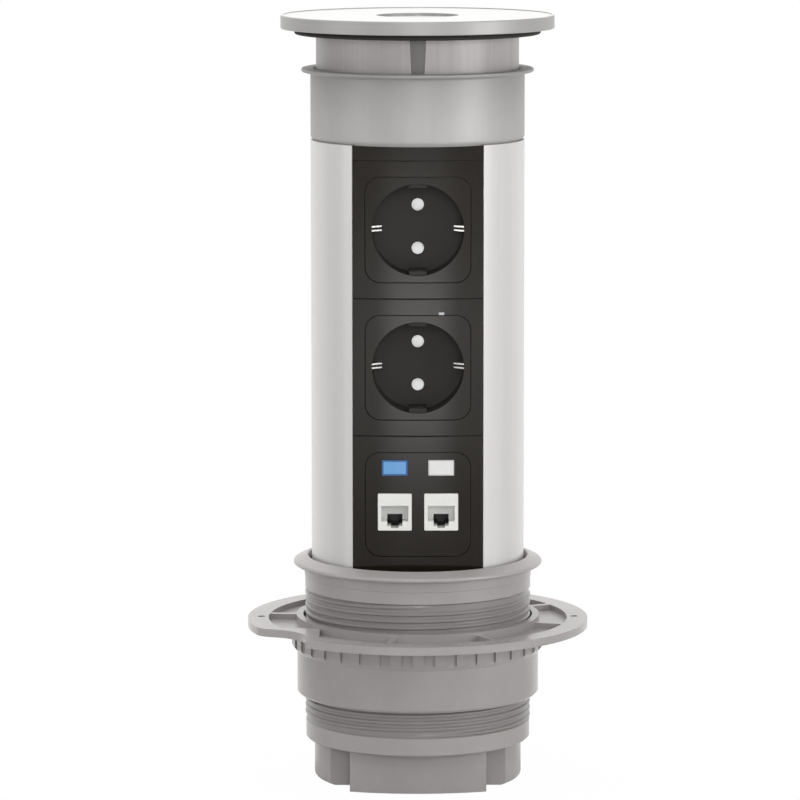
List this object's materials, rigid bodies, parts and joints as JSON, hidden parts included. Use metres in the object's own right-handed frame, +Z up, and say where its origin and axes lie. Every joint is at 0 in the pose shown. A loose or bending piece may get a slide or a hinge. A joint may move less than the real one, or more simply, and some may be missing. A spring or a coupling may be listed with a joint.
{
  "type": "pop up desk socket",
  "caption": "Round pull-up desk socket column with side-earth mains recesses, network jacks, a lifting lid, a threaded desk sleeve, a clamp plate and a castellated nut.",
  "frame": {"origin": "on the column's axis, on the plane that the foot's lugs stand on", "axes": "+Z up along the column, -Y towards the sockets' front, +X to the right seen from the front"},
  "size_m": [0.151, 0.151, 0.3392],
  "materials": {
    "grey_plastic": "satin moulded ABS, warm mid grey",
    "glide_band": "matt low friction band",
    "column_aluminium": "satin anodised extrusion",
    "screw_steel": "zinc plated",
    "grommet_rubber": "matt",
    "black_plastic": "fine moulded grain, warm black",
    "carrier_plastic": "moulded, matt",
    "clip_steel": "bright tinned spring strip",
    "contact_brass": "bare brass",
    "lens_plastic": "clear light pipe",
    "blue_label": "moulded blue tag",
    "white_label": "moulded white tag",
    "white_plastic": "moulded white, gloss",
    "jack_plastic": "moulded black",
    "dust_shutter_plastic": "moulded light grey",
    "lid_steel": "spun satin steel",
    "seal_rubber": "matt soft rubber",
    "neck_steel": "circumferential satin grain",
    "key_plastic": "moulded dark grey"
  },
  "bodies": {
    "sleeve": {"desk_sleeve": "grey_plastic", "upper_glide_band": "glide_band", "lower_glide_band": "glide_band"},
    "column": {"column_profile": "column_aluminium", "collar_ring": "grey_plastic", "collar_screws": "screw_steel", "neck_glide_band": "glide_band", "foot_cap": "grey_plastic", "foot_screws": "screw_steel", "mains_grommet": "grommet_rubber", "data_grommet": "grommet_rubber", "top_filler": "black_plastic", "bottom_filler": "black_plastic", "upper_socket_frame": "black_plastic", "lower_socket_frame": "black_plastic", "data_frame": "black_plastic", "upper_socket_insert": "black_plastic", "lower_socket_insert": "black_plastic", "upper_socket_back": "carrier_plastic", "lower_socket_back": "carrier_plastic", "upper_earth_clip": "clip_steel", "lower_earth_clip": "clip_steel", "upper_pin_contacts": "contact_brass", "lower_pin_contacts": "contact_brass", "bus_bars": "contact_brass", "earth_bar": "contact_brass", "terminal_screws": "screw_steel", "indicator_lens": "lens_plastic", "data_plate": "black_plastic", "blue_label_tag": "blue_label", "white_label_tag": "white_label", "left_jack_bezel": "white_plastic", "right_jack_bezel": "white_plastic", "left_jack_body": "jack_plastic", "right_jack_body": "jack_plastic", "left_jack_contacts": "contact_brass", "right_jack_contacts": "contact_brass", "latch_housing": "carrier_plastic"},
    "lid": {"lid_cap": "lid_steel", "lid_carrier": "carrier_plastic", "lid_seal": "seal_rubber", "neck_tube": "neck_steel", "neck_key": "key_plastic", "lid_screws": "screw_steel", "latch_plunger": "carrier_plastic"},
    "upper_shutter": {"upper_pin_shutter": "white_plastic"},
    "lower_shutter": {"lower_pin_shutter": "white_plastic"},
    "left_dust_shutter": {"left_jack_shutter": "dust_shutter_plastic"},
    "right_dust_shutter": {"right_jack_shutter": "dust_shutter_plastic"},
    "clamp_plate": {"clamp_plate": "grey_plastic"},
    "clamp_nut": {"clamp_nut": "grey_plastic"}
  },
  "joints": [
    {"name": "column_slide", "type": "slide", "parent": "sleeve", "child": "column", "axis": [0, 0, 1], "range_m": [-0.2138, 0]},
    {"name": "lid_lift", "type": "slide", "parent": "column", "child": "lid", "axis": [0, 0, 1], "range_m": [-0.0145, 0]},
    {"name": "clamp_slide", "type": "slide", "parent": "sleeve", "child": "clamp_plate", "axis": [0, 0, 1], "range_m": [-0.0095, 0.0185]},
    {"name": "nut_turn", "type": "hinge", "parent": "clamp_plate", "child": "clamp_nut", "pos_m": [0, 0, 0.05], "axis": [0, 0, 1], "range_deg": [-1080, 2160]},
    {"name": "upper_shutter_slide", "type": "slide", "parent": "column", "child": "upper_shutter", "axis": [1, 0, 0], "range_m": [0, 0.0066], "stiffness_N_per_m": 60, "springref_m": -0.002},
    {"name": "lower_shutter_slide", "type": "slide", "parent": "column", "child": "lower_shutter", "axis": [1, 0, 0], "range_m": [0, 0.0066], "stiffness_N_per_m": 60, "springref_m": -0.002},
    {"name": "left_dust_shutter_slide", "type": "slide", "parent": "column", "child": "left_dust_shutter", "axis": [0, 0, 1], "range_m": [0, 0.0068], "stiffness_N_per_m": 40, "springref_m": -0.002},
    {"name": "right_dust_shutter_slide", "type": "slide", "parent": "column", "child": "right_dust_shutter", "axis": [0, 0, 1], "range_m": [0, 0.0068], "stiffness_N_per_m": 40, "springref_m": -0.002}
  ],
  "couplings": [
    {"joint": "clamp_slide", "follows": "nut_turn", "m_per_rad": 0.00047746}
  ]
}
